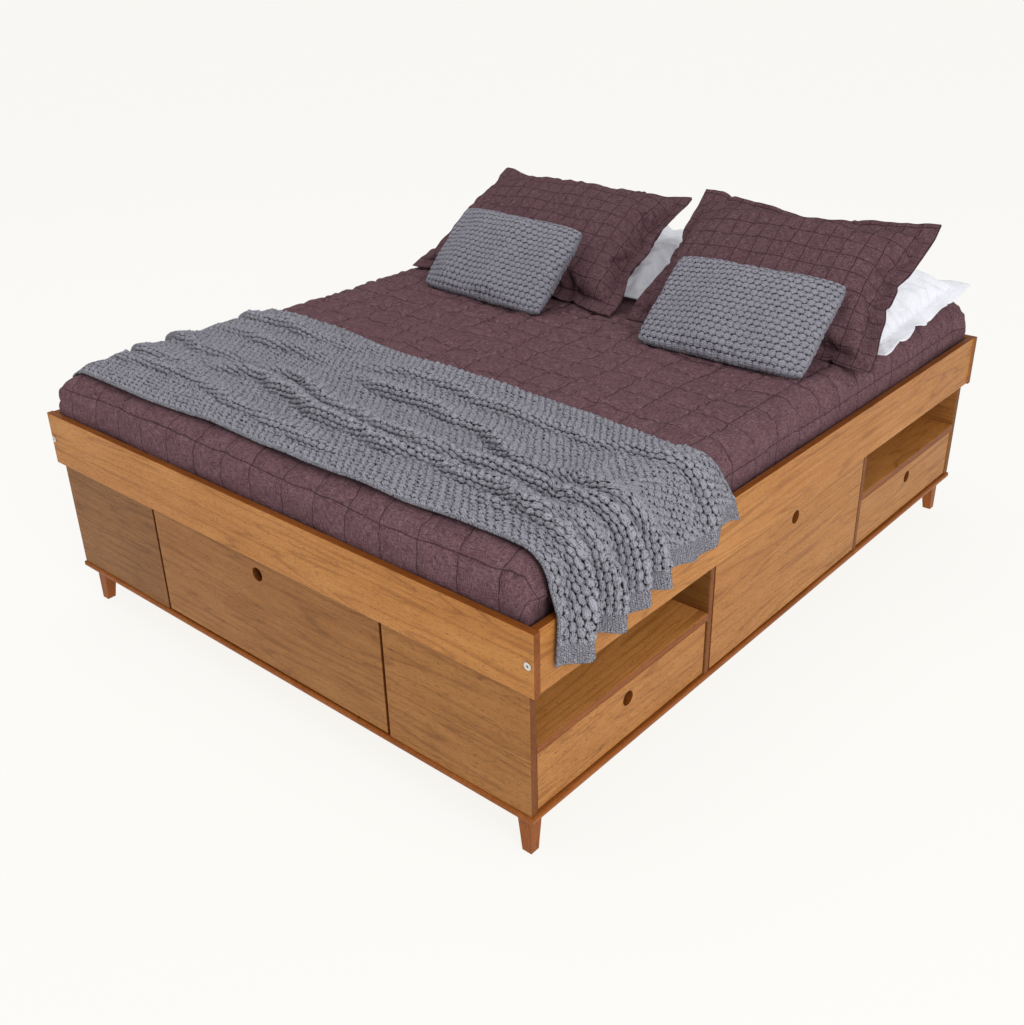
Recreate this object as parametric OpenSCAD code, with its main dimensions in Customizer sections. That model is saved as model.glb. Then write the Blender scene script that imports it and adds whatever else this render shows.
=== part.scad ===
// Storage platform bed: an apron box on a plinth of four corner modules, each with a drawer under an
// open niche, three drop-down flaps between the modules, and a dressed mattress inside the aprons.
// X runs across the bed, Y from the foot (-) to the head (+), Z up from the floor.

/* [Overall size] */
// Length over the foot and head apron boards
bed_l = 2050; // [2040:1:2070]
// Width over the ends of the foot and head apron boards
bed_w = 1675; // [1660:1:1700]
// Height of the four apron boards
apron_h = 144; // [130:1:170]
// Height of the storage body between plinth and aprons
body_h = 303; // [290:1:330]
// Height of the legs
leg_h = 105; // [60:1:140]

/* [Boards] */
// Thickness of the apron boards, flaps and end panels
panel_t = 19; // [18:0.5:20]
// Thickness of the plinth boards
plinth_t = 15; // [12:0.5:18]
// Thickness of the shelves and drawer fronts
board_t = 18; // [16:0.5:20]
// Thickness of the dividers between drawers and side flaps
divider_t = 16; // [15:0.5:19]
// Thickness of the module backs and the drawer sides
side_t = 15; // [12:0.5:16]
// Radius of the eased edges
ease_r = 2; // [1:0.25:3]
// Radius of the plinth's rounded outer edge
nose_r = 6; // [3:0.5:6]

/* [Body layout] */
// Inset of the body's long sides from the apron ends
side_inset = 20; // [16:1:24]
// Inset of the body's short sides from the apron faces
end_inset = 10; // [6:1:14]
// Setback of the side aprons behind the ends of the foot and head aprons
apron_setback = 4; // [1:1:8]
// Overhang of the plinth past the body
plinth_over = 5.5; // [2:0.5:8]
// Length of a corner module along the bed
module_l = 644.5; // [600:0.5:680]
// Depth of a corner module across the bed
module_d = 404; // [380:1:430]

/* [Drawers and flaps] */
// Height of the shelf top above the plinth
shelf_up = 168; // [150:1:180]
// Gap round a drawer front
drawer_gap = 4; // [3:0.5:6]
// Setback of a drawer front behind the body's side
drawer_setback = 3; // [1:0.5:4]
// Gap above and below the fronts and flaps
front_gap = 5; // [4:0.5:6]
// Gap at each side of the foot flap
foot_gap = 7; // [5:0.5:8]
// Gap at each side of a side flap
flap_gap = 4; // [3:0.5:6]
// Diameter of the finger holes
finger_d = 35; // [30:1:40]
// Distance of a finger hole below the top edge of its front
finger_down = 40; // [35:1:50]

/* [Bedding] */
// Width of the mattress
mattress_w = 1580; // [1560:5:1600]
// Length of the mattress
mattress_l = 1980; // [1960:5:1985]
// Thickness of the mattress
mattress_t = 205; // [180:5:230]
// Thickness of the quilt
quilt_t = 12; // [8:1:13]

/* [Hidden] */
$fn = 48;

// Colours
oak = [0.66, 0.42, 0.23];
oak_dark = [0.56, 0.34, 0.19];
inside = [0.72, 0.52, 0.34];
metal = [0.78, 0.78, 0.8];
plum = [0.38, 0.27, 0.29];
knit = [0.52, 0.53, 0.57];
white = [0.94, 0.94, 0.96];

// Faces of the aprons and the body
half_w = bed_w / 2;
half_l = bed_l / 2;
plinth_top = leg_h + plinth_t;
apron_low = plinth_top + body_h;
apron_top = apron_low + apron_h;
apron_out = half_w - apron_setback;
apron_in = apron_out - panel_t;
end_in = half_l - panel_t;
side_face = half_w - side_inset;
end_face = half_l - end_inset;

// Corner modules, drawn at the foot of the right-hand side and mirrored to the others
module_in = side_face - module_d;
module_out = end_face - module_l;
bay_end = end_face - panel_t;
bay_mid = module_out + divider_t;
back_face = module_in + side_t;
shelf_top = plinth_top + shelf_up;
shelf_low = shelf_top - board_t;

// Slat base
ledger_w = 30;
ledger_h = 25;
ledger_top = apron_low + ledger_h;
slat_w = 70;
slat_t = 15;
slat_count = 13;
slat_l = 2 * apron_in - 5;
slat_span = 2 * end_in - slat_w - 70;
slat_top = ledger_top + slat_t;
beam_w = 45;
beam_h = 70;
beam_low = ledger_top - beam_h;
post_y = module_out + 25;

// Legs
leg_foot = 24;
leg_head = 38;
leg_inset = 18.5;

// Corner bolts with barrel nuts
bolt_x = apron_out - panel_t / 2;
bolt_z = apron_low + apron_h / 2;
bolt_r = 4;
bolt_l = 66;
bolt_hole_r = 4.5;
bolt_head_r = 8.5;
bolt_head_h = 3;
hex_across = 5.8;
nut_r = 6;
nut_in = 40;
nut_l = 15;

// Drawers
front_low = plinth_top + front_gap;
front_top = shelf_low - drawer_gap;
front_out = side_face - drawer_setback;
front_back = front_out - board_t;
front_y0 = bay_end - drawer_gap;
front_y1 = bay_mid + drawer_gap;
box_clear = 10;
box_back = back_face + 15;
box_low = plinth_top + 17;
box_h = 110;
box_bottom_t = 6;
box_bottom_up = 8;
box_tongue = 5;
glue_gap = 0.2;
runner_w = 17;
runner_h = 14;
runner_z = plinth_top + 75;
runner_end = front_back - 22;
groove_deep = 8;
groove_clear = 0.4;

// Flaps and their pivot pins
flap_low = plinth_top + front_gap;
flap_top = apron_low - front_gap;
pivot_in = panel_t / 2;
pivot_z = flap_low + pivot_in;
pin_r = 4;
pin_bore_r = 4.05;
pin_half = 11;
pin_bore = 12;
foot_flap_half = module_in - foot_gap;
side_flap_half = module_out - flap_gap;
catch_w = 40;
catch_t = 26;
catch_h = 24;
catch_gap = 1;

// Bedding
mattress_top = slat_top + mattress_t;
quilt_top = mattress_top + quilt_t;
quilt_gap = 0.3;
lie_gap = 0.4;
mattress_r = 60;

// Pillows and cushions, right then left: the middle of the front edge, and the turn seen from above
sham_w = 740;
sham_d = 530;
sham_swell = 50;
sham_lean = 32;
sham_x = [455, -343];
sham_y = [252, 246];
sham_turn = [0, -2];
pillow_w = 690;
pillow_d = 500;
pillow_h = 130;
pillow_x = [450, -300];
pillow_y = 655;
cushion_w = 485;
cushion_d = 283;
cushion_swell = 50;
cushion_lean = 36;
cushion_x = [503, -338];
cushion_y = [96, 112];
cushion_turn = [0, -4];
lean_gap = 6;

// Throw
throw_t = 14;
throw_head = -350;
throw_foot = -960;
throw_left = -795;
throw_hem = 475;
throw_out = half_w + 18;
throw_bend = mattress_w / 2 + quilt_t + 2;

// ---- Shared shapes ----

// Rectangle with rounded corners, from the origin
module rounded_rect(w, h, r) {
    translate([r, 0]) square([w - 2 * r, h]);
    translate([0, r]) square([w, h - 2 * r]);
    for (x = [r, w - r], y = [r, h - r]) {
        translate([x, y]) circle(r, $fn = 24);
    }
}

// Block whose four edges along one axis are rounded
module bar_x(size, r) {
    rotate([90, 0, 90]) linear_extrude(size.x) rounded_rect(size.y, size.z, r);
}

module bar_y(size, r) {
    translate([0, size.y, 0]) rotate([90, 0, 0]) linear_extrude(size.y) rounded_rect(size.x, size.z, r);
}

module bar_z(size, r) {
    linear_extrude(size.z) rounded_rect(size.x, size.y, r);
}

// Board facing X with eased edges all round both faces
module slab_x(size, r) {
    intersection() {
        bar_y(size, r);
        bar_z(size, r);
    }
}

// Board facing Y with eased edges all round both faces
module slab_y(size, r) {
    intersection() {
        bar_x(size, r);
        bar_z(size, r);
    }
}

// Places a corner module's piece: side 1 is right and -1 left, end -1 is the foot and 1 the head
module corner(side, end) {
    mirror([side > 0 ? 0 : 1, 0, 0]) mirror([0, end < 0 ? 0 : 1, 0]) children();
}

// Block between two corners
module between(low, high) {
    translate(low) cube(high - low);
}

// ---- Aprons and their fasteners ----

module end_apron(end) {
    color(oak) mirror([0, end < 0 ? 0 : 1, 0]) difference() {
        translate([-half_w, -half_l, apron_low]) slab_y([bed_w, panel_t, apron_h], ease_r);
        for (side = [-1, 1]) {
            translate([side * bolt_x, -half_l - 1, bolt_z])
                rotate([-90, 0, 0]) cylinder(r = bolt_hole_r, h = panel_t + 2);
        }
    }
}

module side_apron(side) {
    color(oak) mirror([side > 0 ? 0 : 1, 0, 0]) difference() {
        translate([apron_in, -end_in, apron_low]) bar_y([panel_t, 2 * end_in, apron_h], ease_r);
        for (end = [-1, 1]) {
            translate([bolt_x, end * end_in, bolt_z])
                rotate([end * 90, 0, 0]) translate([0, 0, -1]) cylinder(r = bolt_hole_r, h = 56);
            translate([apron_in - 1, end * (end_in - nut_in), bolt_z])
                rotate([0, 90, 0]) cylinder(r = nut_r + 0.1, h = nut_l + 1.5);
        }
    }
}

module apron_bolts() {
    color(metal) for (side = [-1, 1], end = [-1, 1]) {
        translate([side * bolt_x, end * half_l, bolt_z]) rotate([end * 90, 0, 0]) difference() {
            union() {
                cylinder(r = bolt_r, h = bolt_l);
                translate([0, 0, -bolt_head_h]) cylinder(r = bolt_head_r, h = bolt_head_h);
            }
            translate([0, 0, -bolt_head_h - 1]) cylinder(r = hex_across / 2, h = bolt_head_h + 2, $fn = 6);
        }
    }
}

module barrel_nuts() {
    color(metal) for (side = [-1, 1], end = [-1, 1]) {
        mirror([side > 0 ? 0 : 1, 0, 0]) difference() {
            translate([apron_in + 0.5, end * (end_in - nut_in), bolt_z])
                rotate([0, 90, 0]) cylinder(r = nut_r, h = nut_l);
            translate([bolt_x, end * (end_in - nut_in), bolt_z])
                rotate([90, 0, 0]) cylinder(r = bolt_r + 0.05, h = 4 * nut_r, center = true);
        }
    }
}

// ---- Slat base ----

module ledger_strips() {
    color(inside) for (side = [-1, 1]) {
        mirror([side > 0 ? 0 : 1, 0, 0])
            between([apron_in - ledger_w, -end_in, apron_low], [apron_in, end_in, ledger_top]);
        mirror([0, side > 0 ? 0 : 1, 0])
            between(
                [-apron_in + ledger_w + glue_gap, end_in - ledger_w, apron_low],
                [apron_in - ledger_w - glue_gap, end_in, ledger_top]
            );
    }
}

module centre_beam() {
    beam_end = end_in - ledger_w;
    color(inside) between([-beam_w / 2, -beam_end, beam_low], [beam_w / 2, beam_end, ledger_top]);
}

module slats() {
    color(inside) for (i = [0 : slat_count - 1]) {
        y = -slat_span / 2 + i * slat_span / (slat_count - 1);
        translate([-slat_l / 2, y - slat_w / 2, ledger_top]) bar_x([slat_l, slat_w, slat_t], 3);
    }
}

// Two posts under the beam, each over a foot of its own below the plinth
module centre_supports() {
    color(inside) for (end = [-1, 1], z = [[0, leg_h], [plinth_top, beam_low]]) {
        translate([-beam_w / 2, end * post_y - beam_w / 2, z[0]])
            bar_z([beam_w, beam_w, z[1] - z[0]], ease_r);
    }
}

// Square legs with upright outer faces and tapering inner ones
module legs() {
    color(oak_dark) for (side = [-1, 1], end = [-1, 1]) corner(side, end) {
        translate([side_face - leg_inset, -end_face + leg_inset, 0]) intersection() {
            translate([0, leg_head, 0]) rotate([90, 0, 0]) linear_extrude(leg_head)
                polygon([[-leg_head, leg_h], [-leg_foot, 0], [0, 0], [0, leg_h]]);
            translate([-leg_head, 0, 0]) rotate([90, 0, 90]) linear_extrude(leg_head)
                polygon([[0, 0], [leg_foot, 0], [leg_head, leg_h], [0, leg_h]]);
        }
    }
}

// ---- Plinth ----

// Rounded outer edge of the whole plinth, which each board is cut from
module plinth_outline() {
    w = 2 * (side_face + plinth_over);
    l = 2 * (end_face + plinth_over);
    translate([-w / 2, -l / 2, leg_h]) intersection() {
        bar_x([w, l, plinth_t], nose_r);
        bar_y([w, l, plinth_t], nose_r);
        bar_z([w, l, plinth_t], nose_r);
    }
}

module plinth_board(low, high) {
    color(oak_dark) intersection() {
        plinth_outline();
        between([low.x, low.y, leg_h - 1], [high.x, high.y, plinth_top + 1]);
    }
}

module plinth_corner(side, end) {
    corner(side, end) plinth_board([module_in, -half_l], [half_w, -module_out]);
}

module plinth_end(end) {
    mirror([0, end < 0 ? 0 : 1, 0]) plinth_board([-module_in, -half_l], [module_in, -module_out]);
}

module plinth_side(side) {
    mirror([side > 0 ? 0 : 1, 0, 0]) plinth_board([0, -module_out], [half_w, module_out]);
}

// ---- Corner modules ----

module end_panel(side, end) {
    color(oak) corner(side, end) difference() {
        translate([module_in, -end_face, plinth_top])
            slab_y([side_face - module_in, panel_t, body_h], ease_r);
        translate([module_in - 1, -end_face + pivot_in, pivot_z])
            rotate([0, 90, 0]) cylinder(r = pin_bore_r, h = pin_bore + 1);
    }
}

module divider(side, end) {
    color(oak) corner(side, end) difference() {
        translate([module_in, -bay_mid, plinth_top])
            slab_y([side_face - module_in, divider_t, body_h], ease_r);
        translate([side_face - pivot_in, -module_out + 1, pivot_z])
            rotate([90, 0, 0]) cylinder(r = pin_bore_r, h = pin_bore + 1);
    }
}

module shelf(side, end) {
    color(oak) corner(side, end) translate([back_face, -bay_end, shelf_low])
        bar_y([side_face - back_face, bay_end - bay_mid, board_t], ease_r);
}

module module_back(side, end) {
    color(oak_dark) corner(side, end)
        between([module_in, -bay_end, plinth_top], [back_face, -bay_mid, apron_low]);
}

// ---- Drawers ----

// Round finger hole through a front that faces X
module finger_hole_x(z) {
    translate([front_back - 5, 0, z]) rotate([0, 90, 0]) cylinder(d = finger_d, h = 40);
}

module drawer_front(side, end) {
    mid = -(front_y0 + front_y1) / 2;
    color(oak) corner(side, end) difference() {
        translate([front_back, -front_y0, front_low])
            slab_x([board_t, front_y0 - front_y1, front_top - front_low], ease_r);
        translate([0, mid, 0]) finger_hole_x(front_top - finger_down);
    }
}

// Two grooved sides, a back between them and a bottom let into all three
module drawer_box(side, end) {
    y0 = -bay_end + box_clear;
    y1 = -bay_mid - box_clear;
    top = box_low + box_h;
    groove = runner_h + 2 * groove_clear;
    bottom_low = box_low + box_bottom_up;
    tongue = box_tongue - glue_gap;
    color(inside) corner(side, end) {
        for (y = [y0, y1 - side_t]) {
            outer = y == y0 ? y : y + side_t - groove_deep;
            inner = y == y0 ? y + side_t - box_tongue : y;
            difference() {
                between([box_back, y, box_low], [front_back, y + side_t, top]);
                translate([box_back - 1, outer - (y == y0 ? 1 : 0), runner_z - groove / 2])
                    cube([runner_end - box_back + 6, groove_deep + 1, groove]);
                translate([box_back - 1, inner - (y == y0 ? 0 : 1), bottom_low])
                    cube([front_back - box_back + 2, box_tongue + 1, box_bottom_t]);
            }
        }
        difference() {
            between(
                [box_back, y0 + side_t + glue_gap, box_low],
                [box_back + side_t, y1 - side_t - glue_gap, top]
            );
            translate([box_back + side_t - box_tongue, y0, bottom_low])
                cube([box_tongue + 1, y1 - y0, box_bottom_t]);
        }
        between(
            [box_back + side_t - tongue, y0 + side_t - tongue, bottom_low + glue_gap],
            [front_back, y1 - side_t + tongue, bottom_low + box_bottom_t - glue_gap]
        );
    }
}

// A hardwood strip on each side wall of the four drawer bays
module drawer_runners() {
    color(inside) for (side = [-1, 1], end = [-1, 1]) corner(side, end) {
        for (y = [-bay_end, -bay_mid - runner_w]) {
            translate([back_face, y, runner_z - runner_h / 2])
                cube([runner_end - back_face, runner_w, runner_h]);
        }
    }
}

// ---- Flaps ----

module flap_foot() {
    color(oak) difference() {
        translate([-foot_flap_half, -end_face, flap_low])
            slab_y([2 * foot_flap_half, panel_t, flap_top - flap_low], ease_r);
        translate([0, -end_face - 1, flap_top - finger_down])
            rotate([-90, 0, 0]) cylinder(d = finger_d, h = panel_t + 2);
        for (side = [-1, 1]) mirror([side > 0 ? 0 : 1, 0, 0])
            translate([foot_flap_half - pin_bore, -end_face + pivot_in, pivot_z])
                rotate([0, 90, 0]) cylinder(r = pin_bore_r, h = pin_bore + 1);
    }
}

module flap_side(side) {
    color(oak) mirror([side > 0 ? 0 : 1, 0, 0]) difference() {
        translate([side_face - panel_t, -side_flap_half, flap_low])
            slab_x([panel_t, 2 * side_flap_half, flap_top - flap_low], ease_r);
        finger_hole_x(flap_top - finger_down);
        for (end = [-1, 1]) {
            translate([side_face - pivot_in, end * side_flap_half, pivot_z])
                rotate([end * 90, 0, 0]) translate([0, 0, -1]) cylinder(r = pin_bore_r, h = pin_bore + 1);
        }
    }
}

// Pivot pins, half in each flap and half in the panel beside it
module flap_pins() {
    color(metal) {
        for (side = [-1, 1])
            translate([side * (module_in - foot_gap / 2), -end_face + pivot_in, pivot_z])
                rotate([0, 90, 0]) cylinder(r = pin_r, h = 2 * pin_half, center = true);
        for (side = [-1, 1], end = [-1, 1])
            translate([side * (side_face - pivot_in), end * (module_out - flap_gap / 2), pivot_z])
                rotate([90, 0, 0]) cylinder(r = pin_r, h = 2 * pin_half, center = true);
    }
}

// Magnet blocks under the ledgers, two behind the top edge of each flap
module flap_catches() {
    side_x = side_face - panel_t - catch_gap;
    foot_y = end_face - panel_t - catch_gap;
    color(white) {
        for (side = [-1, 1], end = [-1, 1]) mirror([side > 0 ? 0 : 1, 0, 0])
            translate([side_x - catch_t, end * 280 - catch_w / 2, apron_low - catch_h])
                cube([catch_t, catch_w, catch_h]);
        for (side = [-1, 1])
            translate([side * 300 - catch_w / 2, -foot_y, apron_low - catch_h])
                cube([catch_w, catch_t, catch_h]);
    }
}

module head_panel() {
    color(oak) translate([-module_in + foot_gap, end_face - panel_t, plinth_top])
        slab_y([2 * (module_in - foot_gap), panel_t, body_h], ease_r);
}

// ---- Bedding ----

module mattress() {
    color(white) translate([-mattress_w / 2, -mattress_l / 2, slat_top])
        bar_z([mattress_w, mattress_l, mattress_t], mattress_r);
}

// Fitted cover over the mattress, open below
module quilt() {
    w = mattress_w + 2 * (quilt_t + quilt_gap);
    l = mattress_l + 2 * (quilt_t + quilt_gap);
    color(plum) difference() {
        translate([-w / 2, -l / 2, slat_top]) bar_z([w, l, quilt_top - slat_top], mattress_r + quilt_t);
        translate([-w / 2 + quilt_t, -l / 2 + quilt_t, slat_top - 1])
            bar_z([w - 2 * quilt_t, l - 2 * quilt_t, mattress_t + 1 + quilt_gap], mattress_r);
    }
}

// Lens: the overlap of two equal circles, c across and s high on each side of its chord
module lens(c, s) {
    r = (c * c / 4 + s * s) / (2 * s);
    intersection() {
        translate([0, r - s]) circle(r, $fn = 256);
        translate([0, s - r]) circle(r, $fn = 256);
    }
}

// Pillow lying in its own X and Y, thick in the middle and thin at its four edges
module plump(w, d, s) {
    intersection() {
        rotate([90, 0, 0]) linear_extrude(d, center = true) lens(w + 2 * s, 1.05 * s);
        rotate([90, 0, 90]) linear_extrude(w, center = true) lens(d, s);
    }
}

// Pillow leaning back on the quilt, with the middle of its lower edge above pos
module leaning(pos, size, lean, turn) {
    translate([pos.x, pos.y, quilt_top + lean_gap]) rotate([0, 0, turn]) rotate([lean, 0, 0])
        translate([0, size.y / 2, 0]) plump(size.x, size.y, size.z);
}

// Shams and cushions are numbered 0 on the right and 1 on the left
module sham(i) {
    color(plum) leaning([sham_x[i], sham_y[i]], [sham_w, sham_d, sham_swell], sham_lean, sham_turn[i]);
}

// Pillow lying flat: its underside is level and its thin edges start a little above the quilt
module pillow(i) {
    edge_z = 10;
    color(white) translate([pillow_x[i], pillow_y, quilt_top + lie_gap]) intersection() {
        translate([0, 0, edge_z]) plump(pillow_w, pillow_d, pillow_h - edge_z);
        between([-pillow_w, -pillow_d, 0], [pillow_w, pillow_d, pillow_h]);
    }
}

module cushion(i) {
    size = [cushion_w, cushion_d, cushion_swell];
    color(knit) leaning([cushion_x[i], cushion_y[i]], size, cushion_lean, cushion_turn[i]);
}

// Blanket lying across the foot end and hanging over the right-hand apron
module throw() {
    inner = throw_out - throw_t;
    top = quilt_top + lie_gap;
    color(knit) translate([0, throw_head, 0]) rotate([90, 0, 0])
        linear_extrude(throw_head - throw_foot) polygon([
            [throw_left, top],
            [throw_bend, top],
            [inner, apron_top + 60],
            [inner, throw_hem],
            [throw_out, throw_hem],
            [throw_out, apron_top + 65],
            [throw_bend + 28, top + 4],
            [throw_bend, top + throw_t],
            [throw_left, top + throw_t]
        ]);
}

end_apron(-1);  // foot_apron
end_apron(1);  // head_apron
side_apron(1);  // right_apron
side_apron(-1);  // left_apron
ledger_strips();
centre_beam();
slats();
apron_bolts();
barrel_nuts();
centre_supports();
legs();
plinth_corner(1, -1);  // plinth_foot_right
plinth_corner(-1, -1);  // plinth_foot_left
plinth_corner(1, 1);  // plinth_head_right
plinth_corner(-1, 1);  // plinth_head_left
plinth_end(-1);  // plinth_foot
plinth_end(1);  // plinth_head
plinth_side(1);  // plinth_right
plinth_side(-1);  // plinth_left
end_panel(1, -1);  // end_panel_foot_right
end_panel(-1, -1);  // end_panel_foot_left
end_panel(1, 1);  // end_panel_head_right
end_panel(-1, 1);  // end_panel_head_left
divider(1, -1);  // divider_foot_right
divider(-1, -1);  // divider_foot_left
divider(1, 1);  // divider_head_right
divider(-1, 1);  // divider_head_left
shelf(1, -1);  // shelf_foot_right
shelf(-1, -1);  // shelf_foot_left
shelf(1, 1);  // shelf_head_right
shelf(-1, 1);  // shelf_head_left
module_back(1, -1);  // module_back_foot_right
module_back(-1, -1);  // module_back_foot_left
module_back(1, 1);  // module_back_head_right
module_back(-1, 1);  // module_back_head_left
drawer_front(1, -1);  // drawer_front_foot_right
drawer_front(-1, -1);  // drawer_front_foot_left
drawer_front(1, 1);  // drawer_front_head_right
drawer_front(-1, 1);  // drawer_front_head_left
drawer_box(1, -1);  // drawer_box_foot_right
drawer_box(-1, -1);  // drawer_box_foot_left
drawer_box(1, 1);  // drawer_box_head_right
drawer_box(-1, 1);  // drawer_box_head_left
drawer_runners();
flap_foot();
flap_side(1);  // flap_right
flap_side(-1);  // flap_left
flap_pins();
flap_catches();
head_panel();
mattress();
quilt();
sham(0);  // sham_right
sham(1);  // sham_left
pillow(0);  // pillow_right
pillow(1);  // pillow_left
cushion(0);  // cushion_right
cushion(1);  // cushion_left
throw();
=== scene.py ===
"""Looks of the storage bed: oiled wood on the boards, and bedding made by mesh work and cloth simulation."""

import math
from collections import namedtuple

import bpy
import numpy as np
from mathutils import Matrix, Vector


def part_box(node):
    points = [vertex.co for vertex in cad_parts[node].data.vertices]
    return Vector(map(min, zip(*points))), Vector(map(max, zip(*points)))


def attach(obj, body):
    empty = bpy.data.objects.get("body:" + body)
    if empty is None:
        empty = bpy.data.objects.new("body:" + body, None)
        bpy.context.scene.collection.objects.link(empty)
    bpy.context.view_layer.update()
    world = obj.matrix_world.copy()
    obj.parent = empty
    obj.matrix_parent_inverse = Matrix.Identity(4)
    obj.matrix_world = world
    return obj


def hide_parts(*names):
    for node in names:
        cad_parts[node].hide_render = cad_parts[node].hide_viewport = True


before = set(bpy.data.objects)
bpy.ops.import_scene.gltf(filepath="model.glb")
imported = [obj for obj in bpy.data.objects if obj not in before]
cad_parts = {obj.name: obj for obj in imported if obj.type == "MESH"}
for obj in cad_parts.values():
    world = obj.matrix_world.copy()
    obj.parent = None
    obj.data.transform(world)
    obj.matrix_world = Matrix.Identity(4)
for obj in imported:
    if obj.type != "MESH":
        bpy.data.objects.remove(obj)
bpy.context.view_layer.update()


# ---------------------------------------------------------------- camera, light and floor

def add_camera():
    """Camera above the right-hand corner of the foot end, aimed at a point in the bed's near half."""
    aim, distance = Vector((0.093, -0.234, 0.25)), 3.178
    turn, height, roll = math.radians(41.51), math.radians(27.52), math.radians(-1.34)
    back = Vector((math.cos(height) * math.sin(turn), -math.cos(height) * math.cos(turn), math.sin(height)))
    level = Vector((math.cos(turn), math.sin(turn), 0))
    upright = back.cross(level)
    right = math.cos(roll) * level + math.sin(roll) * upright
    up = math.cos(roll) * upright - math.sin(roll) * level
    data = bpy.data.cameras.new("camera")
    data.sensor_fit = "HORIZONTAL"
    data.sensor_width, data.lens = 36, 40.69
    camera = bpy.data.objects.new("camera", data)
    facing = Matrix((right, up, back)).transposed().to_4x4()
    camera.matrix_world = Matrix.Translation(aim + distance * back) @ facing
    bpy.context.scene.collection.objects.link(camera)
    bpy.context.scene.camera = camera


def add_area_light(name, place, aim, size, power):
    """Square soft light at place, facing aim."""
    data = bpy.data.lights.new(name, "AREA")
    data.size, data.energy = size, power
    lamp = bpy.data.objects.new(name, data)
    away = Vector(place) - Vector(aim)
    lamp.matrix_world = Matrix.Translation(place) @ away.to_track_quat("Z", "Y").to_matrix().to_4x4()
    bpy.context.scene.collection.objects.link(lamp)


def add_floor():
    """Pale floor that glows a little, so that it stays nearly white with only soft shadows on it."""
    mesh = bpy.data.meshes.new("floor")
    reach = 60
    corners = [(-reach, -reach, 0), (reach, -reach, 0), (reach, reach, 0), (-reach, reach, 0)]
    mesh.from_pydata(corners, [], [(0, 1, 2, 3)])
    floor = bpy.data.objects.new("floor", mesh)
    bpy.context.scene.collection.objects.link(floor)
    material = bpy.data.materials.new("floor")
    material.use_nodes = True
    shader = material.node_tree.nodes["Principled BSDF"]
    shader.inputs["Base Color"].default_value = (0.10, 0.10, 0.10, 1)
    shader.inputs["Roughness"].default_value = 0.9
    shader.inputs["Specular IOR Level"].default_value = 0.0
    shader.inputs["Emission Color"].default_value = (1.0, 0.99, 0.955, 1)
    shader.inputs["Emission Strength"].default_value = 0.885
    mesh.materials.append(material)


def add_studio():
    """Even surrounding light, three large soft lamps and the floor."""
    world = bpy.data.worlds.new("studio")
    world.use_nodes = True
    background = world.node_tree.nodes["Background"]
    background.inputs["Color"].default_value = (1.0, 0.995, 0.985, 1)
    background.inputs["Strength"].default_value = 0.56
    bpy.context.scene.world = world
    middle = (0, 0, 0.4)
    add_area_light("key", (4.8, -2.4, 3.2), middle, 2.4, 150)
    add_area_light("fill", (-3.0, -4.8, 2.8), middle, 3.2, 32)
    add_area_light("top", (-1.4, -0.6, 5.0), middle, 3.0, 42)
    add_floor()
    bpy.context.scene.view_settings.view_transform = "Standard"


# ---------------------------------------------------------------- material building

class Shade:
    """A node material under construction. Each method but feed adds a node, and most return its output."""

    def __init__(self, name):
        self.material = bpy.data.materials.new(name)
        self.material.use_nodes = True
        self.tree = self.material.node_tree
        self.surface = self.tree.nodes["Principled BSDF"]

    def node(self, kind, inputs=None, **settings):
        """Adds a node of any kind and returns the node itself."""
        made = self.tree.nodes.new(kind)
        for key, value in settings.items():
            setattr(made, key, value)
        for key, value in (inputs or {}).items():
            self.feed(made.inputs[key], value)
        return made

    def feed(self, socket, value):
        """Links an output to a socket, or sets the socket to a plain value."""
        if isinstance(value, bpy.types.NodeSocket):
            self.tree.links.new(value, socket)
        else:
            socket.default_value = value

    def math(self, operation, *values):
        made = self.tree.nodes.new("ShaderNodeMath")
        made.operation = operation
        for socket, value in zip(made.inputs, values):
            self.feed(socket, value)
        return made.outputs[0]

    def vector(self, operation, *values):
        made = self.tree.nodes.new("ShaderNodeVectorMath")
        made.operation = operation
        for socket, value in zip(made.inputs, values):
            self.feed(socket, value)
        return made.outputs[0]

    def noise(self, place, scale, detail=2.0, roughness=0.5, distortion=0.0):
        made = self.node("ShaderNodeTexNoise", {
            "Vector": place, "Scale": scale, "Detail": detail,
            "Roughness": roughness, "Distortion": distortion})
        return made.outputs["Fac"]

    def ramp(self, value, *stops):
        """Colour ramp through (position, colour) stops."""
        made = self.node("ShaderNodeValToRGB", {"Fac": value})
        steps = made.color_ramp.elements
        while len(steps) < len(stops):
            steps.new(0.5)
        for step, (position, colour) in zip(steps, stops):
            step.position = position
            step.color = (*colour, 1)
        return made.outputs["Color"]

    def range(self, value, low, high, to_low=0.0, to_high=1.0):
        """Carries low..high over to to_low..to_high, and holds it there beyond its ends."""
        made = self.node("ShaderNodeMapRange", {
            "Value": value, "From Min": low, "From Max": high, "To Min": to_low, "To Max": to_high})
        return made.outputs["Result"]

    def mix(self, factor, first, second, blend="MIX"):
        """Mixes two colours, which are outputs or tuples."""
        made = self.node("ShaderNodeMix", data_type="RGBA", blend_type=blend)
        for socket, value in zip((made.inputs[0], made.inputs[6], made.inputs[7]), (factor, first, second)):
            self.feed(socket, (*value, 1) if isinstance(value, tuple) else value)
        return made.outputs[2]

    def bump(self, height, distance, strength):
        made = self.node("ShaderNodeBump", {"Height": height, "Distance": distance, "Strength": strength})
        return made.outputs["Normal"]


def scaled(colour, factor):
    """A colour made darker or lighter."""
    return tuple(factor * part for part in colour)


# ---------------------------------------------------------------- wood

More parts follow.
